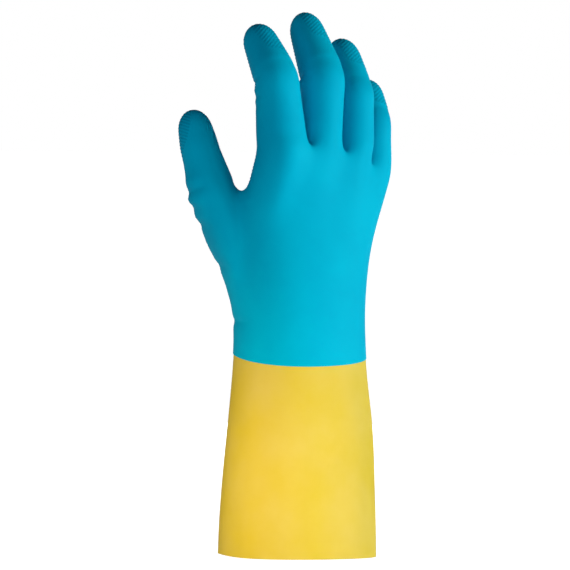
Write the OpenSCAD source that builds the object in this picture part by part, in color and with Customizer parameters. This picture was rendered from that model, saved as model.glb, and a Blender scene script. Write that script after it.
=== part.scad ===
// Dipped rubber work glove for the right hand: a full-length latex glove with a second coat
// dipped over the hand.
// The origin is the centre of the cuff mouth, on the plane of the rim. +Z runs up the arm to
// the fingertips, +X towards the little finger and +Y towards the palm.
// Each coat is one skin. It is divided at the bend lines of the fingers and the thumb, where a
// short fold of skin joins two parts that swing.

/* [Cuff] */
// Width of the cuff mouth, from the thumb side to the little-finger side
cuff_w = 98; // [92:1:112]
// Depth of the cuff mouth, from the back to the palm
cuff_d = 80; // [72:1:90]
// Height of the dip line above the rim, on the cuff's axis
dip_h = 119.5; // [100:0.5:128]
// Slope of the dip line, in degrees
dip_slope = 9; // [0:1:12]
// Direction in which the dip line falls, in degrees from +X
dip_fall = 260; // [200:5:280]

/* [Wrist and palm] */
// Height of the narrowest part of the wrist above the rim
wrist_h = 146; // [138:1:148]
// Width of the wrist
wrist_w = 80.5; // [76:0.5:88]
// Depth of the wrist
wrist_d = 64; // [58:1:70]
// Height above the rim at which the palm starts to divide into the fingers
split_h = 200; // [192:1:206]
// Height of the knuckles above the rim
knuckle_h = 244; // [240:1:250]
// Width across the knuckles
palm_w = 93; // [84:1:100]
// Depth at the knuckles
palm_d = 34; // [30:1:38]
// How far the knuckles stand towards the little finger from the cuff's axis
palm_x = 12.5; // [10:0.5:18]
// How far the knuckles stand towards the palm from the cuff's axis
palm_y = -8; // [-12:1:-4]

/* [Walls] */
// Thickness of the latex skin
latex_wall = 0.45; // [0.35:0.05:0.8]
// Thickness of the overdip skin
overdip_wall = 0.35; // [0.25:0.05:0.6]
// Bond line between the two skins
bond_gap = 0.05; // [0.05:0.01:0.1]

/* [Fingers, in the order index, middle, ring, little] */
// Root of each finger from the middle of the knuckles, towards the little finger
finger_x = [-34, -6.2, 19, 38]; // [-38:0.2:40]
// Root of each finger from the middle of the knuckles, towards the palm
finger_y = [-4, -4.2, -2, 8]; // [-10:0.2:10]
// Height of each root above the knuckle line
finger_rise = [9, 7.5, 3, -6]; // [-8:0.5:12]
// Tilt of each finger towards the little finger, in degrees
finger_splay = [-2.5, 4.5, 3.5, 5]; // [-10:0.5:8]
// Lean of each finger towards the palm, in degrees
finger_lean = [6, 6.5, 6.5, 5.5]; // [2:0.5:10]
// Bend of each finger at its middle joint, in degrees
finger_curl = [34, 34, 34, 30]; // [20:1:45]
// Diameter of each finger at its root
finger_base_d = [30, 24.6, 22, 20.8]; // [18:0.2:32]
// Diameter of each finger at its middle joint
finger_joint_d = [26.4, 26.4, 21.2, 18.2]; // [16:0.2:27]
// Diameter of each finger where its rounded end starts
finger_end_d = [21.4, 21, 20.4, 17.4]; // [14:0.2:24]
// Length of the fold at each finger's knuckle
finger_fold_len = [15, 15, 14, 11.5]; // [10:0.5:18]
// Length of each finger between its two folds
finger_base_len = [8, 11, 9, 5]; // [4:0.5:14]
// Length of the fold at each finger's middle joint
finger_joint_len = [20, 20, 17, 14]; // [12:0.5:24]
// Length of each finger beyond its middle joint
finger_tip_len = [30, 38.5, 31.5, 22]; // [18:0.5:44]
// Length of each finger's rounded end
finger_cap_len = [14, 15, 14, 12]; // [11:0.5:18]

/* [Thumb] */
// Root of the thumb from the cuff's axis, towards the little finger
thumb_x = -51.5; // [-56:0.5:-46]
// Root of the thumb from the cuff's axis, towards the palm
thumb_y = 20; // [16:0.5:24]
// Depth of the thumb's root below the knuckle line
thumb_drop = 22; // [16:0.5:26]
// Tilt of the thumb away from the little finger, in degrees
thumb_splay = -11.5; // [-16:0.5:-4]
// Lean of the thumb towards the palm, in degrees
thumb_lean = 14; // [8:1:18]
// Turn of the thumb about its own length, so that it closes across the palm, in degrees
thumb_roll = -58; // [-70:1:-45]
// Bend of the thumb at its end joint, in degrees
thumb_curl = 6; // [4:1:12]
// Diameter of the thumb at its root
thumb_base_d = 28; // [24:0.5:29]
// Diameter of the thumb at its end joint
thumb_joint_d = 23.2; // [20:0.2:26]
// Diameter of the thumb where its rounded end starts
thumb_end_d = 21.2; // [18:0.2:25]
// Length of the fold at the thumb's knuckle
thumb_fold_len = 12; // [11:0.5:15]
// Length of the thumb between its two folds
thumb_base_len = 4; // [3:0.5:8]
// Length of the fold at the thumb's end joint
thumb_joint_len = 12; // [10:0.5:17]
// Length of the thumb beyond its end joint
thumb_tip_len = 19; // [16:0.5:24]
// Length of the thumb's rounded end
thumb_cap_len = 14; // [12:0.5:15]
// Share of the palm's width, on the thumb side, that the ball of the thumb takes up
ball_share = 0.45; // [0.4:0.05:0.8]
// Height above the rim at which the ball of the thumb starts to swell
ball_h = 149; // [147:1:158]

/* [Hidden] */
DIGITS = ["thumb", "index", "middle", "ring", "little"];
COATS = ["latex", "overdip"];
LINKS = ["knuckle", "base", "joint", "tip"];

latex_yellow = "#F0D14E";
overdip_blue = "#00A5CF";

// Facets and steps of the lofted skins
hand_sides = 36;
root_sides = 36;
cuff_steps = 5;
palm_steps = 4;
cap_steps = 9;
// Squareness of the cuff's and the palm's sections: 2 is an ellipse
cuff_power = 2.2;
palm_power = 2.5;
// Height of the slice of palm from which each finger grows
slice_h = 6;
// Straight length of skin below a digit's first fold, at least
root_run = 4;
// Thickness of the disc at the foot of that length, towards which the palm narrows
root_disc = 2;
// How far a cutting solid reaches past the wall that it opens
overcut = 2;

// Heights of the palm's rings above the wrist, with a ring at each end of every slice
palm_levels = concat(
    [ball_h],
    [for (i = [0:palm_steps]) blend(ball_h + slice_h, split_h - slice_h, i / palm_steps)],
    [split_h]
);

// Radial inset of each coat's two faces from the outside of the glove
overdip_faces = [0, overdip_wall];
latex_faces = [overdip_wall + bond_gap, overdip_wall + bond_gap + latex_wall];

function coat_faces(coat) = coat == "latex" ? latex_faces : overdip_faces;
function coat_colour(coat) = coat == "latex" ? latex_yellow : overdip_blue;
function blend(a, b, t) = a + (b - a) * t;
function ease(t) = t * t * (3 - 2 * t);

// Hand and cuff

// One closed ring: a superellipse of half-widths a and b about centre
function ring(centre, a, b, power) = [
    for (i = [0:hand_sides - 1])
        let (angle = 360 * i / hand_sides, c = cos(angle), s = sin(angle))
        centre + [
            a * sign(c) * pow(abs(c), 2 / power),
            b * sign(s) * pow(abs(s), 2 / power),
            0
        ]
];

// Ring of the cuff at share t of the height from the rim to the wrist
function cuff_ring(t, inset) = ring(
    [0, 0, wrist_h * t],
    blend(cuff_w, wrist_w, ease(t)) / 2 - inset,
    blend(cuff_d, wrist_d, ease(t)) / 2 - inset,
    cuff_power
);

// Ring of the palm at height h above the rim, or of the given share of it on the thumb side
function palm_ring(h, inset, share = 1) =
    let (
        t = (h - wrist_h) / (knuckle_h - wrist_h),
        a = blend(wrist_w, palm_w, ease(t)) / 2,
        b = blend(wrist_d, palm_d, ease(t)) / 2
    )
    ring(
        [palm_x * pow(t, 1.5) - a * (1 - share), palm_y * pow(t, 1.5), h],
        a * share - inset,
        b * blend(share, 1, 0.5) - inset,
        blend(cuff_power, palm_power, t)
    );

// Hull of two rings, one after the other along a loft
module span(low, high) {
    count = len(low);
    hull() polyhedron(
        concat(low, high),
        concat(
            [[for (i = [0:count - 1]) i]],
            [[for (i = [count - 1:-1:0]) count + i]],
            [for (i = [0:count - 1]) let (j = (i + 1) % count) [i, count + i, count + j, j]]
        )
    );
}

module loft(rings) {
    for (i = [0:len(rings) - 2]) span(rings[i], rings[i + 1]);
}

// Cuff and palm up to the split, taken in by inset; past is how far it runs beyond the rim
module hand_body(inset, past) {
    rim = [for (p = cuff_ring(0, inset)) p - [0, 0, past]];
    loft(concat(
        past > 0 ? [rim] : [],
        [for (i = [0:cuff_steps]) cuff_ring(i / cuff_steps, inset)],
        [for (h = palm_levels) palm_ring(h, inset)]
    ));
}

// Growth of one digit's root out of the slice of palm between two levels of the loft
module digit_root(digit, low, high, inset, past, share = 1) {
    d = base_d(digit) - 2 * inset;
    run = root_len(digit) + root_disc;
    hull() {
        span(palm_ring(low, inset, share), palm_ring(high, inset, share));
        place(digit) translate([0, 0, -run])
            cylinder(h = root_disc - inset, d = d, $fn = root_sides);
    }
    place(digit) translate([0, 0, -run])
        cylinder(h = run + past, d = d, $fn = root_sides);
}

module hand_solid(inset, past = 0) {
    hand_body(inset, past);
    digit_root(0, ball_h, split_h - slice_h, inset, past, ball_share);
    for (digit = [1:4]) digit_root(digit, split_h - slice_h, split_h, inset, past);
}

// Half space above or below the dip line
module dip_side(above) {
    reach = 2 * (knuckle_h + cuff_w);
    translate([0, 0, dip_h]) rotate([0, 0, dip_fall]) rotate([0, dip_slope, 0])
        translate([-reach / 2, -reach / 2, above ? 0 : -reach]) cube(reach);
}

module hand_skin(coat, above_dip) {
    faces = coat_faces(coat);
    color(coat_colour(coat)) intersection() {
        difference() {
            hand_solid(faces[0]);
            hand_solid(faces[1], overcut);
        }
        dip_side(above_dip);
    }
}

module latex_cuff() { hand_skin("latex", false); }
module latex_hand() { hand_skin("latex", true); }
module overdip_hand() { hand_skin("overdip", true); }

// Digits: 0 is the thumb, and 1 to 4 are the fingers

function base_d(digit) = digit == 0 ? thumb_base_d : finger_base_d[digit - 1];
function joint_d(digit) = digit == 0 ? thumb_joint_d : finger_joint_d[digit - 1];
function end_d(digit) = digit == 0 ? thumb_end_d : finger_end_d[digit - 1];
function fold_len(digit) = digit == 0 ? thumb_fold_len : finger_fold_len[digit - 1];
function base_len(digit) = digit == 0 ? thumb_base_len : finger_base_len[digit - 1];
function joint_len(digit) = digit == 0 ? thumb_joint_len : finger_joint_len[digit - 1];
function tip_len(digit) = digit == 0 ? thumb_tip_len : finger_tip_len[digit - 1];
function cap_len(digit) = digit == 0 ? thumb_cap_len : finger_cap_len[digit - 1];
function curl(digit) = digit == 0 ? thumb_curl : finger_curl[digit - 1];
function root(digit) = digit == 0 ? [thumb_x, thumb_y, knuckle_h - thumb_drop] : [
    palm_x + finger_x[digit - 1],
    palm_y + finger_y[digit - 1],
    knuckle_h + finger_rise[digit - 1]
];
// A finger runs straight down past the fold of any neighbour that is rooted lower
function root_len(digit) = root_run + max(concat([0], digit == 0 ? [] : [
    for (beside = [max(digit - 1, 1), min(digit + 1, 4)])
        finger_rise[digit - 1] - finger_rise[beside - 1]
]));
function turn(digit) = digit == 0
    ? [-thumb_lean, thumb_splay, 0]
    : [-finger_lean[digit - 1], finger_splay[digit - 1], 0];

// Diameter along the straight run from the root to the middle joint
function run_d(digit, s) =
    blend(base_d(digit), joint_d(digit), s / (fold_len(digit) + base_len(digit)));

// Radius of the middle joint's fold, along its centre line
function curl_radius(digit) = joint_len(digit) / curl(digit) * 180 / PI;

// A digit's own frame: Z along it from its root, and Y the way it closes
module place(digit) {
    translate(root(digit)) rotate(turn(digit)) rotate([0, 0, digit == 0 ? thumb_roll : 0])
        children();
}

// Straight tapered sleeve of a digit from s to s + length
module sleeve(digit, s, length, coat) {
    faces = coat_faces(coat);
    low = run_d(digit, s) / 2;
    high = run_d(digit, s + length) / 2;
    translate([0, 0, s]) rotate_extrude() polygon([
        [low - faces[1], 0],
        [low - faces[0], 0],
        [high - faces[0], length],
        [high - faces[1], length]
    ]);
}

// Start of the middle joint's fold, turned so that rotate_extrude bends towards Y
module joint_start(digit) {
    translate([0, 0, fold_len(digit) + base_len(digit)]) children();
}

module elbow(digit, coat) {
    faces = coat_faces(coat);
    bend = curl_radius(digit);
    joint_start(digit) translate([0, bend, 0]) rotate([0, -90, 0]) rotate([0, 0, -90])
        rotate_extrude(angle = curl(digit)) translate([bend, 0]) difference() {
            circle(d = joint_d(digit) - 2 * faces[0]);
            circle(d = joint_d(digit) - 2 * faces[1]);
        }
}

// Half profile of a fingertip, taken in by inset, from its open end to its point
function tip_profile(digit, inset) =
    let (
        r = end_d(digit) / 2 - inset,
        cap = cap_len(digit) - inset,
        straight = tip_len(digit) - cap_len(digit)
    )
    concat(
        [[joint_d(digit) / 2 - inset, 0]],
        [for (i = [0:cap_steps]) [r * cos(90 * i / cap_steps), straight + cap * sin(90 * i / cap_steps)]]
    );

function reversed(list) = [for (i = [len(list) - 1:-1:0]) list[i]];

module fingertip(digit, coat) {
    faces = coat_faces(coat);
    bend = curl_radius(digit);
    angle = curl(digit);
    joint_start(digit) translate([0, bend * (1 - cos(angle)), bend * sin(angle)])
        rotate([-angle, 0, 0]) rotate_extrude()
            polygon(concat(tip_profile(digit, faces[0]), reversed(tip_profile(digit, faces[1]))));
}

// One link of one digit in one coat
module digit_skin(digit, link, coat) {
    color(coat_colour(coat)) place(digit) {
        if (link == "knuckle") sleeve(digit, 0, fold_len(digit), coat);
        if (link == "base") sleeve(digit, fold_len(digit), base_len(digit), coat);
        if (link == "joint") elbow(digit, coat);
        if (link == "tip") fingertip(digit, coat);
    }
}

latex_cuff();
latex_hand();
overdip_hand();
for (digit = [0:4], link = LINKS, coat = COATS)
    digit_skin(digit, link, coat);
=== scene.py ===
import math

import bmesh
import bpy
from mathutils import Matrix, Vector


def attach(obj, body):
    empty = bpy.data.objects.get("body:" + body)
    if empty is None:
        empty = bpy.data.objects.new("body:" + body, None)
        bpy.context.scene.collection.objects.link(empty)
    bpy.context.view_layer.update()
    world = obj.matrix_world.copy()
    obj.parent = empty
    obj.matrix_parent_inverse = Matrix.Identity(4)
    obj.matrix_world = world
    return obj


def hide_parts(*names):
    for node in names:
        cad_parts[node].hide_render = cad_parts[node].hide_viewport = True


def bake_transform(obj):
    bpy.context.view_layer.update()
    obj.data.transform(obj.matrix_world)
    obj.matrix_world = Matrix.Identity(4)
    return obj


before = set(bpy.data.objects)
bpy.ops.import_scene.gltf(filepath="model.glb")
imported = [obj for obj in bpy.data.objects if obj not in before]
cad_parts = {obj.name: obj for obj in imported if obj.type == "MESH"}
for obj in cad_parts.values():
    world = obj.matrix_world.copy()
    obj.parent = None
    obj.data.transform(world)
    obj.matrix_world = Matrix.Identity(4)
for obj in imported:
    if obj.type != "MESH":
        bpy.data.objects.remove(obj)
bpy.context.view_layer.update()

mm = 0.001

# Skins, in millimetres
skins = {
    "overdipWall": 0.33,
    "latexInset": 0.42,     # latex face below the outside of the glove
    "latexWall": 0.43,
    "fineLevel": 4,         # subdivision of the blue coat's outside
    "plainLevel": 3,        # subdivision of every other face
}

# Cuff and wrist
cuff = {
    "mouth": (98, 80),
    "wrist": (80.5, 64),
    "wristHeight": 146,
    "power": 2.2,
    "rows": [0, 14, 30, 48, 66, 84, 102, 116, 131, 146],
}

# Palm, up to the row below the finger roots
palm = {
    "width": 93,
    "depth": 34,
    "middle": (12.5, -8),
    "height": 244,
    "power": 2.5,
    "rows": [158, 170, 182, 195],
    "rootShare": [0.5, 0.78],    # further rows, by share of the way to the finger roots
    "rootDrop": -9,              # the last row, along each finger from its root
    "webLift": 2,                # webs between the fingers, above that row
    "thumbRows": (10, 14),       # first and last row of the thumb's hole
    "thumbShare": [0.34, 0.68, 1],    # rows from that hole to the thumb, by share of the way
    "thumbDrop": -6,             # the last of them, along the thumb from its root
    "webSag": 3,                 # sag of the web between thumb and palm
}

# Soft pads and hollows of the hand and cuff: middle, reach, and how far the cage is pushed there
pads = [
    ((-32, 26, 192), (22, 14, 24), (-1, 12, 0)),      # ball of the thumb
    ((-46, -2, 196), (14, 12, 22), (-3, -5, 0)),      # web, on the back
    ((22, 12, 226), (34, 12, 15), (0, 5, 0)),         # below the fingers, in the palm
    ((-22, -28, 236), (16, 10, 20), (0, -4, 0)),      # knuckle of the index finger
    ((-38, 4, 221), (9, 16, 8), (-0.5, 0, 3.4)),      # foot of the gap beside the thumb
    ((-33, 2, 226), (8, 16, 8), (-1.8, 0, 1.5)),      # the same, on the side of the index finger
    ((-37, 13.5, 159), (15, 15, 13), (-3.2, 1.9, 0)), # wrist, below the ball of the thumb
    ((46, -11, 182), (18, 18, 26), (-1.7, 1, 0)),     # hollow of the outer edge
    ((41, -16, 76), (20, 20, 27), (1.8, -1, 0)),      # swell of the cuff
    ((-42, 14, 0), (20, 20, 12), (0, 0, 1.8)),        # rim, lifted on the thumb side
]

# Edge of the blue coat
dip = {"height": 120.4, "slope": 9.5, "fall": 258}

digits = {
    "thumb": {
        "root": (-51.5, 20, 222), "splay": -11.5, "lean": 14, "roll": -58, "curl": 6,
        "rootWidth": 28, "jointWidth": 23.2, "endWidth": 21.2,
        "fold": 12, "base": 4, "joint": 12, "tip": 19, "cap": 14,
    },
    "index": {
        "root": (-21.5, -12, 253), "splay": -2.5, "lean": 6, "roll": 0, "curl": 34,
        "rootWidth": 30, "jointWidth": 26.4, "endWidth": 21.4,
        "fold": 15, "base": 8, "joint": 20, "tip": 30, "cap": 14,
    },
    "middle": {
        "root": (6.3, -12.2, 251.5), "splay": 4.5, "lean": 6.5, "roll": 0, "curl": 34,
        "rootWidth": 24.6, "jointWidth": 26.4, "endWidth": 21,
        "fold": 15, "base": 11, "joint": 20, "tip": 38.5, "cap": 15,
    },
    "ring": {
        "root": (31.5, -10, 247), "splay": 3.5, "lean": 6.5, "roll": 0, "curl": 34,
        "rootWidth": 22, "jointWidth": 21.2, "endWidth": 20.4,
        "fold": 14, "base": 9, "joint": 17, "tip": 31.5, "cap": 14,
    },
    "little": {
        "root": (50.5, 0, 238), "splay": 5, "lean": 5.5, "roll": 0, "curl": 30,
        "rootWidth": 20.8, "jointWidth": 18.2, "endWidth": 17.4,
        "fold": 11.5, "base": 5, "joint": 14, "tip": 22, "cap": 12,
    },
}
fingerNames = ["index", "middle", "ring", "little"]
digitNames = list(digits)

# Rings of a stall
stalls = {
    "firstRing": -1,
    "baseSteps": 4,              # rings up to the cut in the base
    "ringStep": 4,               # distance of the rings beyond it, about
    "fewestSteps": 3,
    "capAngles": (20, 38, 54, 68, 80),    # rings of the rounded tip
    "firstAngle": {"thumb": 238, "finger": 180},    # where each ring starts
}

# Ribs of the fingertips: slanting lines on one side and round the palm side
ribs = {
    "pitch": 1.85,
    "height": 0.17,
    "soft": 5,       # degrees over which they fade in
    "end": 44,       # furthest from the tip
    "fade": 6,
    "paintedShade": 0.26,    # painted shade: how much darker the rib grooves are painted
    # colour that the painted shade in the rib grooves is multiplied by
    "paintedShadeTint": (0, 0.12, 0.22),
    # slope along, across and front to back, then the start angle on either side,
    # by distance from the tip in tip widths
    "finger": {
        "slope": (0.75, 0.65, 0.12), "sign": 1,
        "near": [
            (-0.4, -64), (0.24, -50), (0.8, -35), (1.1, -26),
            (1.22, -12), (1.28, 20), (1.33, 60), (1.4, 110),
        ],
        "far": [(-0.4, 96), (0.2, 108), (1.7, 116)],
    },
    "thumb": {
        "slope": (0.82, -0.56, -0.14), "sign": -1,
        "near": [(-0.4, -36), (0.1, -28), (0.5, -18), (0.9, 3), (1.15, 28), (1.4, 60), (2, 90)],
        "far": [(-0.4, 130), (1.7, 150)],
    },
}

# Grip pattern of the palm
grip = {
    "pitch": 4.4, "height": 0.2, "round": 0.6,
    "low": 152, "lowFade": 10, "high": 240, "highFade": 8,
    "facing": (0.15, 0.55),      # how far the skin faces the palm side, from none to all of it
}

# Knuckles and creases over the joints: how high or deep, and where from the middle of the joint
knuckles = {
    "sharp": 0.45,               # length of the bend, as a share of the fold
    "bump": 0.5, "bumpPlace": -3, "bumpWidth": 6,
    "crease": 0.45, "creasePlace": 4, "creaseWidth": 1.5,
    "fold": 0.5, "foldPlace": 2.6,
    "backAngles": (95, 20), "frontAngles": (100, 165),    # from the middle of the back
}
# Folds on the thumb side of the fingers: bulge and notch
sideFolds = {
    "index": (0.4, 0.5), "middle": (1.6, 0.9), "ring": (0.3, 0.2), "little": (0.3, 0.2),
    "angle": 150, "angles": (58, 8),
    "bulgePlace": -4.5, "bulgeWidth": 3.6, "notchPlace": 1.5, "notchWidth": 2.2,
}
# Wrinkles below those folds
wrinkles = {"pitch": 6.5, "height": 0.22, "place": -10, "width": 8, "weak": 0.4}
# Folds at the root of the thumb: share, place and width of each
thumbFolds = {
    "height": 0.9, "angle": 238, "angles": (70, 15),
    "waves": [(1, -7, 4), (-0.6, -1, 2.4), (0.6, 5, 3.4)],
}
# Creases across the thumb's edge of the hand: heights, and how deep
edgeCreases = {
    "facing": (-0.866, 0.5, 0), "from": 0.6, "full": 0.97, "top": 222, "firstSwell": 218,
    "heights": (208.7, 197.9, 173.7, 140.9), "width": 2.6, "depth": 0.9, "swell": 0.5,
}
# Soft crease in the cuff: its ends, across the picture and up, and the hollow beside it
cuffCrease = {
    "across": (0.866, -0.5, 0), "low": (11.2, 46.7), "high": (32.8, 71.9), "reach": 0.6,
    "height": 0.5, "width": 4.5, "hollow": -7, "hollowWidth": 4, "top": 100, "facing": 0.2,
}


def smoothStep(low, high, value):
    t = min(max((value - low) / (high - low), 0), 1)
    return t * t * (3 - 2 * t)


def mixed(a, b, t):
    return a + (b - a) * t


def bump(value, middle, width):
    return math.exp(-((value - middle) / width) ** 2)


# Centre line of a digit: straight to its joint, an arc, then straight to its tip
def digitFrame(d):
    return (
        Matrix.Translation(d["root"])
        @ Matrix.Rotation(math.radians(d["splay"]), 4, "Y")
        @ Matrix.Rotation(math.radians(-d["lean"]), 4, "X")
        @ Matrix.Rotation(math.radians(d["roll"]), 4, "Z")
    )


for name, d in digits.items():
    d["name"] = name
    d["straight"] = d["fold"] + d["base"]
    d["bend"] = d["joint"] / math.radians(d["curl"])
    # the skin bends more sharply than the fold as a whole
    sharper = (1 - knuckles["sharp"]) * d["bend"] * math.tan(math.radians(d["curl"] / 2))
    d["bend"] *= knuckles["sharp"]
    d["foldStart"] = d["straight"]
    d["straight"] += sharper
    d["arc"] = d["joint"] * knuckles["sharp"]
    d["foldEnd"] = d["straight"] + d["arc"] + sharper
    d["length"] = d["foldEnd"] + d["tip"]
    d["tip"] += sharper
    d["frame"] = digitFrame(d)
    d["inverse"] = d["frame"].inverted()


def alongDigit(d, s):
    if s <= d["straight"]:
        return d["frame"] @ Matrix.Translation((0, 0, s))
    angle = math.radians(d["curl"]) * min((s - d["straight"]) / d["arc"], 1)
    beyond = max(s - d["straight"] - d["arc"], 0)
    spot = (0, d["bend"] * (1 - math.cos(angle)), d["straight"] + d["bend"] * math.sin(angle))
    return (
        d["frame"] @ Matrix.Translation(spot)
        @ Matrix.Rotation(-angle, 4, "X") @ Matrix.Translation((0, 0, beyond))
    )


def digitRadius(d, s):
    if s <= d["straight"]:
        return mixed(d["rootWidth"], d["jointWidth"], max(s, 0) / d["straight"]) / 2
    left = d["length"] - s
    if left >= d["cap"]:
        past = max(s - d["straight"] - d["arc"], 0)
        return mixed(d["jointWidth"], d["endWidth"], past / (d["tip"] - d["cap"])) / 2
    share = 1 - left / d["cap"]
    return d["endWidth"] / 2 * math.sqrt(max(1 - share * share, 0))


backAngle = 270     # the middle of a digit's back, in angles round it


# Place of a point on a digit: length along it, angle round it, distance out
def onDigit(d, co):
    p = d["inverse"] @ co
    if p.z <= d["straight"]:
        return p.z, math.degrees(math.atan2(p.y, p.x)) % 360, math.hypot(p.x, p.y)
    out = Vector((0, d["bend"], d["straight"]))
    angle = math.atan2(p.z - out.z, out.y - p.y)
    full = math.radians(d["curl"])
    turned = Matrix.Rotation(min(angle, full), 3, "X") @ (p - out)
    y = turned.y + d["bend"]
    s = d["straight"] + d["arc"] * min(angle / full, 1)
    if angle > full:
        s += turned.z
    return s, math.degrees(math.atan2(y, p.x)) % 360, math.hypot(p.x, y)


# Cage: rings pulled up from the rim, parted into the fingers and the thumb
columns = 20
half = columns // 2
fingerColumns = 8
thumbColumns = 12
# Makes up for the shrinking of a smoothed ring
cageGain = {fingerColumns: 1 / 0.9024, thumbColumns: 1 / 0.9553, columns: 1 / 0.9837}
handRegion = 0


def baseRegion(number):
    return 1 + 2 * number


def tipRegion(number):
    return 2 + 2 * number


def ringAngles(d, count):
    first = stalls["firstAngle"]["thumb" if d["name"] == "thumb" else "finger"]
    return [first + 360 * k / count for k in range(count)]


def ringPoint(d, s, angle, count):
    r = digitRadius(d, s) * cageGain[count]
    a = math.radians(angle)
    return alongDigit(d, s) @ Vector((r * math.cos(a), r * math.sin(a), 0))


def roundRow(middle, width, depth, power):
    row = []
    for k in range(columns):
        a = math.radians(180 + 360 * k / columns)
        c, s = math.cos(a), math.sin(a)
        row.append(Vector((
            middle[0] + width / 2 * cageGain[columns] * math.copysign(abs(c) ** (2 / power), c),
            middle[1] + depth / 2 * cageGain[columns] * math.copysign(abs(s) ** (2 / power), s),
            middle[2],
        )))
    return row


def cuffRow(z):
    t = smoothStep(0, cuff["wristHeight"], z)
    return roundRow(
        (0, 0, z), mixed(cuff["mouth"][0], cuff["wrist"][0], t),
        mixed(cuff["mouth"][1], cuff["wrist"][1], t), cuff["power"],
    )


def palmRow(z):
    t = (z - cuff["wristHeight"]) / (palm["height"] - cuff["wristHeight"])
    e = smoothStep(0, 1, t)
    return roundRow(
        (palm["middle"][0] * t ** 1.5, palm["middle"][1] * t ** 1.5, z),
        mixed(cuff["wrist"][0], palm["width"], e),
        mixed(cuff["wrist"][1], palm["depth"], e),
        mixed(cuff["power"], palm["power"], t),
    )


def growRing(bm, ring, places, region):
    count = len(ring)
    edges = [bm.edges.get((ring[k], ring[(k + 1) % count])) for k in range(count)]
    made = bmesh.ops.extrude_edge_only(bm, edges=edges)["geom"]
    fresh = {g for g in made if isinstance(g, bmesh.types.BMVert)}
    for g in made:
        if isinstance(g, bmesh.types.BMFace):
            g.material_index = region
    nextRing = []
    for v in ring:
        nextRing.append(next(e.other_vert(v) for e in v.link_edges if e.other_vert(v) in fresh))
    for v, place in zip(nextRing, places):
        v.co = place
    return nextRing


# Lengths at which a digit has rings: up to the cut in its base, and from there to the tip
def ringLengths(d):
    cut = d["fold"] + d["base"] / 2
    lower = [cut * k / stalls["baseSteps"] for k in range(stalls["baseSteps"] + 1)]
    lower[0] = stalls["firstRing"]
    capStart = d["length"] - d["cap"]
    steps = max(round((capStart - cut) / stalls["ringStep"]), stalls["fewestSteps"])
    upper = [mixed(cut, capStart, k / steps) for k in range(1, steps + 1)]
    upper += [capStart + d["cap"] * math.sin(math.radians(a)) for a in stalls["capAngles"]]
    return lower, upper


def growDigit(bm, d, ring, number):
    count = len(ring)
    angles = ringAngles(d, count)
    lower, upper = ringLengths(d)
    for s in lower:
        region = handRegion if s < 0 else baseRegion(number)
        ring = growRing(bm, ring, [ringPoint(d, s, a, count) for a in angles], region)
    for s in upper:
        ring = growRing(bm, ring, [ringPoint(d, s, a, count) for a in angles], tipRegion(number))
    end = bmesh.ops.contextual_create(bm, geom=ring)["faces"]
    for f in end:
        f.material_index = tipRegion(number)


# Row below the finger roots, where neighbouring fingers share points, and the webs between them
def rootRow():
    row = [None] * columns
    parts = []
    for name in fingerNames:
        d = digits[name]
        angles = ringAngles(d, fingerColumns)
        parts.append([ringPoint(d, palm["rootDrop"], a, fingerColumns) for a in angles])
    row[0] = parts[0][0]
    row[half] = parts[-1][4]
    for n, part in enumerate(parts):
        back, front = 1 + 2 * n, columns - 1 - 2 * n
        row[back + 1] = part[2]
        row[front - 1] = part[6]
        row[back] = part[1] if n == 0 else (part[1] + parts[n - 1][3]) / 2
        row[front] = part[7] if n == 0 else (part[7] + parts[n - 1][5]) / 2
    row[half - 1] = parts[-1][3]
    row[half + 1] = parts[-1][5]
    webs = []
    for low, high in zip(parts, parts[1:]):
        webs.append((low[4] + high[0]) / 2 + Vector((0, 0, palm["webLift"])))
    return row, webs


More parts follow.
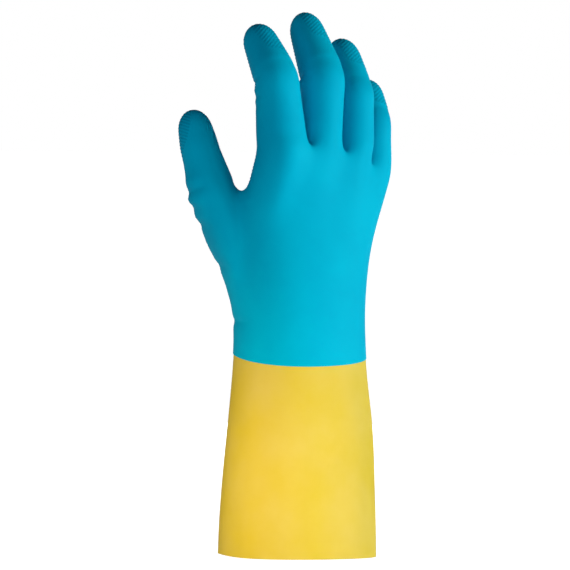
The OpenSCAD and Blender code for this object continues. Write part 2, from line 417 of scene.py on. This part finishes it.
def buildCage():
    bm = bmesh.new()
    ring = bmesh.ops.create_circle(bm, segments=columns, radius=1)["verts"]
    for v, place in zip(ring, cuffRow(cuff["rows"][0])):
        v.co = place
    rows = [ring]
    for z in cuff["rows"][1:]:
        rows.append(growRing(bm, rows[-1], cuffRow(z), handRegion))
    for z in palm["rows"]:
        rows.append(growRing(bm, rows[-1], palmRow(z), handRegion))
    top, webPlaces = rootRow()
    below = palmRow(palm["rows"][-1])
    for share in palm["rootShare"] + [1]:
        places = [a.lerp(b, share) for a, b in zip(below, top)]
        rows.append(growRing(bm, rows[-1], places, handRegion))

    # the webs part the last row into four loops
    last = rows[-1]
    webs = []
    for n, place in enumerate(webPlaces):
        web = bm.verts.new(place)
        bm.edges.new((last[3 + 2 * n], web))
        bm.edges.new((web, last[columns - 3 - 2 * n]))
        webs.append(web)
    for n, name in enumerate(fingerNames):
        left = last[0] if n == 0 else webs[n - 1]
        right = webs[n] if n < len(webs) else last[half]
        b, p = 1 + 2 * n, columns - 1 - 2 * n
        loop = [left, last[b], last[b + 1], last[b + 2], right, last[p - 2], last[p - 1], last[p]]
        growDigit(bm, digits[name], loop, digitNames.index(name))

    # the thumb grows from a hole in the side of the palm
    low, high = palm["thumbRows"]
    middle, front = columns - 1, columns - 2
    inside = [rows[r][middle] for r in range(low + 1, high)]
    loop = (
        [rows[low][middle], rows[low][0]] + [rows[r][0] for r in range(low + 1, high)]
        + [rows[high][0], rows[high][middle], rows[high][front]]
        + [rows[r][front] for r in range(high - 1, low, -1)] + [rows[low][front]]
    )
    bmesh.ops.delete(bm, geom=inside, context="VERTS")
    d = digits["thumb"]
    angles = ringAngles(d, thumbColumns)
    start = [v.co.copy() for v in loop]
    end = [ringPoint(d, palm["thumbDrop"], a, thumbColumns) for a in angles]
    ring = loop
    foot, crown = min(v.z for v in start), max(v.z for v in start)
    for share in palm["thumbShare"]:
        places = [a.lerp(b, share) for a, b in zip(start, end)]
        for a, place in zip(start, places):
            place.z -= palm["webSag"] * 4 * share * (1 - share) * ((a.z - foot) / (crown - foot)) ** 3
        ring = growRing(bm, ring, places, handRegion)
    growDigit(bm, d, ring, digitNames.index("thumb"))

    # pads, on the hand and cuff alone
    for v in bm.verts:
        if any(f.material_index != handRegion for f in v.link_faces):
            continue
        moved = Vector()
        for middle, reach, push in pads:
            far = sum(((a - b) / c) ** 2 for a, b, c in zip(v.co, middle, reach))
            moved += Vector(push) * math.exp(-far)
        v.co += moved
    bmesh.ops.recalc_face_normals(bm, faces=bm.faces[:])
    return bm


cage = buildCage()
print("cage:", len(cage.faces), "faces")


# Soft forms that both coats follow
def angleFrom(angle, middle):
    return (angle - middle + 180) % 360 - 180


def edgeForm(co, normal):
    c = edgeCreases
    edge = smoothStep(c["from"], c["full"], normal.dot(Vector(c["facing"])))
    if edge == 0 or co.z >= c["top"]:
        return 0
    total = 0
    for above, z in zip((c["firstSwell"],) + c["heights"], c["heights"]):
        total -= c["depth"] * edge * bump(co.z, z, c["width"])
        total += c["swell"] * edge * bump(co.z, (above + z) / 2, (above - z) / 4)
    return total


def cuffForm(co, normal):
    c = cuffCrease
    if co.z >= c["top"] or normal.y >= c["facing"]:
        return 0
    low, high = Vector(c["low"]), Vector(c["high"])
    place = Vector((co.dot(Vector(c["across"])), co.z)) - (low + high) / 2
    run = (high - low).normalized()
    aside = place.x * run.y - place.y * run.x
    ends = bump(place.dot(run), 0, (high - low).length * c["reach"])
    return c["height"] * ends * (bump(aside, 0, c["width"]) - bump(aside, c["hollow"], c["hollowWidth"]))


def thumbForm(s, angle):
    side = smoothStep(*thumbFolds["angles"], abs(angleFrom(angle, thumbFolds["angle"])))
    waves = sum(share * bump(s, place, width) for share, place, width in thumbFolds["waves"])
    return thumbFolds["height"] * side * waves


def fingerForm(d, s, angle, away, middle):
    k, f, w = knuckles, sideFolds, wrinkles
    back = smoothStep(*k["backAngles"], away)
    total = k["bump"] * back * bump(s, middle + k["bumpPlace"], k["bumpWidth"])
    total -= k["crease"] * back * bump(s, middle + k["creasePlace"], 2 * k["creaseWidth"])
    bulge, notch = f[d["name"]]
    side = smoothStep(*f["angles"], abs(angleFrom(angle, f["angle"])))
    total += side * bulge * bump(s, middle + f["bulgePlace"], f["bulgeWidth"])
    total -= side * notch * bump(s, middle + f["notchPlace"], f["notchWidth"])
    wave = math.cos(2 * math.pi * (s - middle) / w["pitch"]) * bump(s, middle + w["place"], w["width"])
    return total + w["height"] * side * wave * (1 if d["name"] == "index" else w["weak"])


# Room round a digit in which its forms are looked for
digitRoom = {"below": 20, "start": -16, "end": 2, "out": 26}


def formOffset(co, near, normal):
    total = edgeForm(co, normal) + cuffForm(co, normal)
    for d in near:
        if co.z < d["root"][2] - digitRoom["below"]:
            continue
        s, angle, out = onDigit(d, co)
        if not digitRoom["start"] < s < d["length"] + digitRoom["end"] or out > digitRoom["out"]:
            continue
        away = abs(angleFrom(angle, backAngle))     # 0 on the back, 180 on the palm side
        front = smoothStep(*knuckles["frontAngles"], away)
        middle = d["straight"] + d["arc"] / 2
        for place in (middle - knuckles["foldPlace"], middle + knuckles["foldPlace"]):
            total -= knuckles["fold"] * front * bump(s, place, knuckles["creaseWidth"])
        if d["name"] == "thumb":
            total += thumbForm(s, angle)
        else:
            total += fingerForm(d, s, angle, away, middle)
    return total


# Value at a place between the rows of a table
def stepped(table, value):
    if value <= table[0][0]:
        return table[0][1]
    for (a, low), (b, high) in zip(table, table[1:]):
        if value < b:
            return mixed(low, high, (value - a) / (b - a))
    return table[-1][1]


# Raised ribs and grip, on the blue coat only
def ribWave(d, co):
    look = ribs["thumb" if d["name"] == "thumb" else "finger"]
    s, angle, out = onDigit(d, co)
    left = d["length"] - s
    turned = angleFrom(angle, backAngle) * look["sign"]        # 0 on the back
    widths = left / d["endWidth"]
    near, far = stepped(look["near"], widths), stepped(look["far"], widths)
    nearSide = smoothStep(near, near + ribs["soft"], turned)
    farSide = smoothStep(far, far + ribs["soft"], -turned)
    weight = max(nearSide, farSide) * smoothStep(ribs["end"] + ribs["fade"], ribs["end"], left)
    along, across, front = look["slope"]
    turn = math.radians(angle)
    phase = (along * left + out * (across * math.cos(turn) + front * math.sin(turn))) / ribs["pitch"]
    return weight, 0.5 + 0.5 * math.cos(2 * math.pi * phase)


def ribOffset(d, co):
    weight, wave = ribWave(d, co)
    return ribs["height"] * weight * wave


def gripOffset(co, normal):
    weight = smoothStep(*grip["facing"], normal.y)
    weight *= smoothStep(grip["low"], grip["low"] + grip["lowFade"], co.z)
    weight *= smoothStep(grip["high"] + grip["highFade"], grip["high"], co.z)
    if weight == 0:
        return 0
    u = math.cos(2 * math.pi * (co.x + co.z) / grip["pitch"])
    v = math.cos(2 * math.pi * (co.x - co.z) / grip["pitch"])
    return grip["height"] * weight * max(u * v, 0) ** grip["round"]


# A patch of the smoothed cage, with enough of its neighbours to keep its edges true
def smoothPatch(keep, level):
    part = cage.copy()
    part.faces.ensure_lookup_table()
    wanted = {f for f in part.faces if f.material_index in keep}
    for step in range(2):
        wanted |= {g for f in wanted for v in f.verts for g in v.link_faces}
    bmesh.ops.delete(part, geom=[f for f in part.faces if f not in wanted], context="FACES")
    mesh = bpy.data.meshes.new("patch")
    part.to_mesh(mesh)
    part.free()
    holder = bpy.data.objects.new("patch", mesh)
    bpy.context.collection.objects.link(holder)
    smoother = holder.modifiers.new("smooth", "SUBSURF")
    smoother.levels = smoother.render_levels = level
    graph = bpy.context.evaluated_depsgraph_get()
    bm = bmesh.new()
    bm.from_object(holder, graph)
    bpy.data.objects.remove(holder)
    bpy.data.meshes.remove(mesh)
    bm.normal_update()
    return bm


def skinFace(keep, level, inset, detail=None, grooveShade=None):
    bm = smoothPatch(keep, level)
    # layer of painted shade: how deep in a rib groove each point lies, to darken its colour there
    grooveShadeLayer = bm.verts.layers.float.new("grooveShade")
    near = []
    for k, name in enumerate(digitNames):
        if keep & {handRegion, baseRegion(k), tipRegion(k)}:
            near.append(digits[name])
    normals = [v.normal.copy() for v in bm.verts]
    for v, n in zip(bm.verts, normals):
        v.co += n * formOffset(v.co, near, n)
    bm.normal_update()
    normals = [v.normal.copy() for v in bm.verts]
    for v, n in zip(bm.verts, normals):
        if grooveShade:
            weight, wave = ribWave(grooveShade, v.co)
            v[grooveShadeLayer] = weight * (1 - wave)
        v.co += n * ((detail(v.co, n) if detail else 0) - inset)
    bmesh.ops.delete(bm, geom=[f for f in bm.faces if f.material_index not in keep], context="FACES")
    return bm


def dipPlane():
    fall, slope = math.radians(dip["fall"]), math.radians(dip["slope"])
    across = math.sin(slope)
    normal = Vector((across * math.cos(fall), across * math.sin(fall), math.cos(slope)))
    return Vector((0, 0, dip["height"])), normal


def cutAtDip(bm):
    spot, normal = dipPlane()
    bmesh.ops.bisect_plane(
        bm, geom=bm.verts[:] + bm.edges[:] + bm.faces[:], dist=1e-5,
        plane_co=spot, plane_no=normal, clear_inner=True,
    )


def edgeLoops(bm):
    left = dict.fromkeys(e for e in bm.edges if e.is_boundary)     # keeps its order
    loops = []
    while left:
        loop = [left.popitem()[0]]
        grown = True
        while grown:
            grown = False
            for v in loop[-1].verts:
                for e in v.link_edges:
                    if e in left:
                        del left[e]
                        loop.append(e)
                        grown = True
                        break
                if grown:
                    break
        loops.append(loop)
    return loops


def loopMiddle(loop):
    total = Vector()
    for e in loop:
        total += (e.verts[0].co + e.verts[1].co) / 2
    return total / len(loop)


# Outer and inner faces joined at their open edges into one closed skin
def closeSkin(name, outer, inner, outerSlot, innerSlot):
    mesh = bpy.data.meshes.new(name)
    for f in outer.faces:
        f.material_index = outerSlot
    for f in inner.faces:
        f.material_index = innerSlot
    bmesh.ops.reverse_faces(inner, faces=inner.faces[:])
    inner.to_mesh(mesh)
    inner.free()
    outerLoops = edgeLoops(outer)
    spots = [loopMiddle(loop) for loop in outerLoops]
    known = {e for loop in outerLoops for e in loop}
    outer.from_mesh(mesh)
    fresh = [loop for loop in edgeLoops(outer) if loop[0] not in known]
    for loop, spot in zip(outerLoops, spots):
        match = min(fresh, key=lambda other: (loopMiddle(other) - spot).length)
        made = bmesh.ops.bridge_loops(outer, edges=loop + match)["faces"]
        for f in made:
            f.material_index = outerSlot
        for e in loop + match:
            e.smooth = False
    for f in outer.faces:
        f.smooth = True
    bmesh.ops.scale(outer, vec=(mm, mm, mm), verts=outer.verts[:])
    mesh.clear_geometry()
    outer.to_mesh(mesh)
    outer.free()
    piece = bpy.data.objects.new(name, mesh)
    bpy.context.collection.objects.link(piece)
    return piece


# Materials
def newMaterial(name, colour, roughness):
    material = bpy.data.materials.new(name)
    material.use_nodes = True
    shader = material.node_tree.nodes["Principled BSDF"]
    shader.inputs["Base Color"].default_value = (*colour, 1)
    shader.inputs["Roughness"].default_value = roughness
    return material, material.node_tree, shader


rubber = {
    "blue": {
        "deep": (0.0, 0.375, 0.55), "pale": (0.0, 0.425, 0.595), "rough": 0.6,
        "gloss": (0, 0.9, 1), "shine": 0.05, "grain": 900, "grainDepth": 0.00006,
    },
    "yellow": {
        "deep": (0.60, 0.465, 0.022), "pale": (0.63, 0.50, 0.065), "rough": 0.68,
        "gloss": (1, 1, 1), "shine": 0.25, "grain": 700, "grainDepth": 0.00006,
    },
    "flock": {
        "deep": (0.72, 0.60, 0.26), "pale": (0.80, 0.70, 0.38), "rough": 0.95,
        "gloss": (1, 1, 1), "shine": 0.1, "grain": 2600, "grainDepth": 0.0004,
    },
    "clouds": {"scale": 28, "detail": 4, "deepAt": 0.32, "paleAt": 0.68},    # drift from deep to pale
    "grainDetail": 3,
    "grainStrength": 0.35,
}


def rubberMaterial(name, look, paintGrooveShade=False):
    material, tree, shader = newMaterial(name, look["pale"], look["rough"])
    shader.inputs["Specular Tint"].default_value = (*look["gloss"], 1)
    shader.inputs["Specular IOR Level"].default_value = look["shine"]
    nodes, links = tree.nodes, tree.links
    place = nodes.new("ShaderNodeTexCoord")
    cloud = nodes.new("ShaderNodeTexNoise")
    cloud.inputs["Scale"].default_value = rubber["clouds"]["scale"]
    cloud.inputs["Detail"].default_value = rubber["clouds"]["detail"]
    ramp = nodes.new("ShaderNodeValToRGB")
    ramp.color_ramp.elements[0].position = rubber["clouds"]["deepAt"]
    ramp.color_ramp.elements[0].color = (*look["deep"], 1)
    ramp.color_ramp.elements[1].position = rubber["clouds"]["paleAt"]
    ramp.color_ramp.elements[1].color = (*look["pale"], 1)
    grain = nodes.new("ShaderNodeTexNoise")
    grain.inputs["Scale"].default_value = look["grain"]
    grain.inputs["Detail"].default_value = rubber["grainDetail"]
    bumper = nodes.new("ShaderNodeBump")
    bumper.inputs["Strength"].default_value = rubber["grainStrength"]
    bumper.inputs["Distance"].default_value = look["grainDepth"]
    links.new(place.outputs["Object"], cloud.inputs["Vector"])
    links.new(place.outputs["Object"], grain.inputs["Vector"])
    links.new(cloud.outputs["Fac"], ramp.inputs["Fac"])
    colour = ramp.outputs["Color"]
    # painted shade: the base colour is darkened in the rib grooves, where shade falls
    if paintGrooveShade:
        grooveShadeMask = nodes.new("ShaderNodeAttribute")
        grooveShadeMask.attribute_name = "grooveShade"
        depth = nodes.new("ShaderNodeMath")
        depth.operation = "MULTIPLY"
        depth.inputs[1].default_value = ribs["paintedShade"]
        darken = nodes.new("ShaderNodeMix")
        darken.data_type = "RGBA"
        darken.blend_type = "MULTIPLY"
        darken.inputs[7].default_value = (*ribs["paintedShadeTint"], 1)     # 6 and 7 are its two colours
        links.new(grooveShadeMask.outputs["Fac"], depth.inputs[0])
        links.new(depth.outputs["Value"], darken.inputs[0])
        links.new(colour, darken.inputs[6])
        colour = darken.outputs[2]
    links.new(colour, shader.inputs["Base Color"])
    links.new(grain.outputs["Fac"], bumper.inputs["Height"])
    links.new(bumper.outputs["Normal"], shader.inputs["Normal"])
    return material


blueRubber = rubberMaterial("blueRubber", rubber["blue"], paintGrooveShade=True)
yellowRubber = rubberMaterial("yellowRubber", rubber["yellow"])
flockLining = rubberMaterial("flockLining", rubber["flock"])
print("materials done")


def overdipPiece(name, keep, detail, grooveShade=None):
    outer = skinFace(keep, skins["fineLevel"], 0, detail, grooveShade)
    inner = skinFace(keep, skins["plainLevel"], skins["overdipWall"])
    if handRegion in keep:
        cutAtDip(outer)
        cutAtDip(inner)
    piece = closeSkin(name, outer, inner, 0, 0)
    piece.data.materials.append(blueRubber)
    return piece


def latexPiece(name, keep):
    outer = skinFace(keep, skins["plainLevel"], skins["latexInset"])
    inner = skinFace(keep, skins["plainLevel"], skins["latexInset"] + skins["latexWall"])
    piece = closeSkin(name, outer, inner, 0, 1)
    piece.data.materials.append(yellowRubber)
    piece.data.materials.append(flockLining)
    return piece


latexGlove = latexPiece("latexGlove", {handRegion})
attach(latexGlove, "hand")
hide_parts("latex_cuff", "latex_hand")
overdipHand = overdipPiece("overdipHand", {handRegion}, gripOffset)
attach(overdipHand, "hand")
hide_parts("overdip_hand")
print("hand and cuff done")

# Base and tip pieces of each digit's stall, in both coats, in place of the parts from model.glb
for number, name in enumerate(digitNames):
    d = digits[name]
    detail = lambda co, normal, d=d: ribOffset(d, co)
    lower, upper = {baseRegion(number)}, {tipRegion(number)}
    for coat in ("Latex", "Overdip"):
        if coat == "Latex":
            stallBase = latexPiece(name + "Base" + coat, lower)
            stallTip = latexPiece(name + "Tip" + coat, upper)
        else:
            stallBase = overdipPiece(name + "Base" + coat, lower, detail)
            stallTip = overdipPiece(name + "Tip" + coat, upper, detail, d)
        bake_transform(stallBase)
        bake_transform(stallTip)
        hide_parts(f"{name}_knuckle_{coat.lower()}", f"{name}_base_{coat.lower()}")
        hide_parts(f"{name}_joint_{coat.lower()}", f"{name}_tip_{coat.lower()}")
    print(name, "done")
cage.free()

# Floor, light and camera
studio = {
    "azimuth": -30, "elevation": 1.3, "roll": 0.7, "distance": 5, "frame": 0.342,
    "aim": (-0.0092, 0.1625),     # across and up from the origin, in the picture
    "sensor": 36,
}
floorLook = {
    "size": 30, "colour": (0.2, 0.2, 0.2), "rough": 0.9,
    "glow": 0.36, "seenGlow": 1.02,     # white to look at, but it lights the glove less
}
skyGlow = 0.04
handMiddle = (0, 0, 0.17)
lights = {
    "keyLight": {"place": (1.5, -1.25, 0.28), "target": handMiddle, "size": (0.9, 0.9), "power": 41},
    "frontLight": {
        "place": (-0.95, -1.7, 0.25), "target": handMiddle, "size": (0.7, 0.7), "power": 4.6,
        "colour": (1, 0.78, 1),
    },
    "leftLight": {
        "place": (-1.9, -0.9, 0.3), "target": handMiddle, "size": (0.9, 0.9), "power": 11.3,
        "colour": (1, 0.78, 1),
    },
    "palmLight": {"place": (1, 1.73, 0.3), "target": handMiddle, "size": (0.9, 0.9), "power": 22},
    "lowLight": {
        "place": (0.35, -1.1, 0), "target": (0, 0, 0.04), "size": (0.5, 0.1), "power": 0.48,
        "spread": 60,
    },
    "cuffLight": {
        "place": (-0.5, -0.3, 0.05), "target": (-0.03, -0.02, 0.045), "size": (0.1, 0.08), "power": 0.105,
        "spread": 36, "colour": (1, 0.84, 0.6),
    },
}


def addFloor():
    bm = bmesh.new()
    bmesh.ops.create_grid(bm, x_segments=2, y_segments=2, size=floorLook["size"])
    mesh = bpy.data.meshes.new("floor")
    bm.to_mesh(mesh)
    bm.free()
    floor = bpy.data.objects.new("floor", mesh)
    bpy.context.collection.objects.link(floor)
    material, tree, shader = newMaterial("paleFloor", floorLook["colour"], floorLook["rough"])
    shader.inputs["Emission Color"].default_value = (1, 1, 1, 1)
    ray = tree.nodes.new("ShaderNodeLightPath")
    glow = tree.nodes.new("ShaderNodeMix")
    glow.inputs[2].default_value = floorLook["glow"]         # 2 and 3 are its two numbers
    glow.inputs[3].default_value = floorLook["seenGlow"]
    tree.links.new(ray.outputs["Is Camera Ray"], glow.inputs[0])
    tree.links.new(glow.outputs[0], shader.inputs["Emission Strength"])
    floor.data.materials.append(material)


def addLight(name, place, target, size, power, spread=180, colour=(1, 1, 1)):
    lamp = bpy.data.lights.new(name, "AREA")
    lamp.shape = "RECTANGLE"
    lamp.size, lamp.size_y = size
    lamp.energy = power
    lamp.spread = math.radians(spread)
    lamp.color = colour
    holder = bpy.data.objects.new(name, lamp)
    bpy.context.collection.objects.link(holder)
    holder.location = place
    holder.rotation_euler = (Vector(target) - Vector(place)).to_track_quat("-Z", "Y").to_euler()


# A dim sky that looks white behind the glove
def addSky():
    world = bpy.data.worlds.new("studioWorld")
    world.use_nodes = True
    sky = world.node_tree
    light = sky.nodes["Background"]
    light.inputs["Color"].default_value = (1, 1, 1, 1)
    light.inputs["Strength"].default_value = skyGlow
    seen = sky.nodes.new("ShaderNodeBackground")
    seen.inputs["Color"].default_value = (1, 1, 1, 1)
    ray = sky.nodes.new("ShaderNodeLightPath")
    either = sky.nodes.new("ShaderNodeMixShader")
    sky.links.new(ray.outputs["Is Camera Ray"], either.inputs["Fac"])
    sky.links.new(light.outputs["Background"], either.inputs[1])
    sky.links.new(seen.outputs["Background"], either.inputs[2])
    sky.links.new(either.outputs["Shader"], sky.nodes["World Output"].inputs["Surface"])
    bpy.context.scene.world = world


def addCamera():
    azimuth, elevation = math.radians(studio["azimuth"]), math.radians(studio["elevation"])
    right = Vector((math.cos(azimuth), math.sin(azimuth), 0))
    towards = Vector((
        math.sin(azimuth) * math.cos(elevation), -math.cos(azimuth) * math.cos(elevation),
        math.sin(elevation),
    ))
    up = towards.cross(right)
    lens = bpy.data.cameras.new("camera")
    lens.sensor_width = studio["sensor"]
    lens.lens = studio["sensor"] * studio["distance"] / studio["frame"]
    camera = bpy.data.objects.new("camera", lens)
    bpy.context.collection.objects.link(camera)
    spot = right * studio["aim"][0] + up * studio["aim"][1] + towards * studio["distance"]
    turn = Matrix((right, up, towards)).transposed().to_4x4()
    roll = Matrix.Rotation(math.radians(studio["roll"]), 4, "Z")
    camera.matrix_world = Matrix.Translation(spot) @ turn @ roll
    bpy.context.scene.camera = camera


addFloor()
for name, look in lights.items():
    addLight(name, **look)
addSky()
addCamera()
bpy.context.scene.view_settings.view_transform = "Standard"
print("floor, light and camera done")
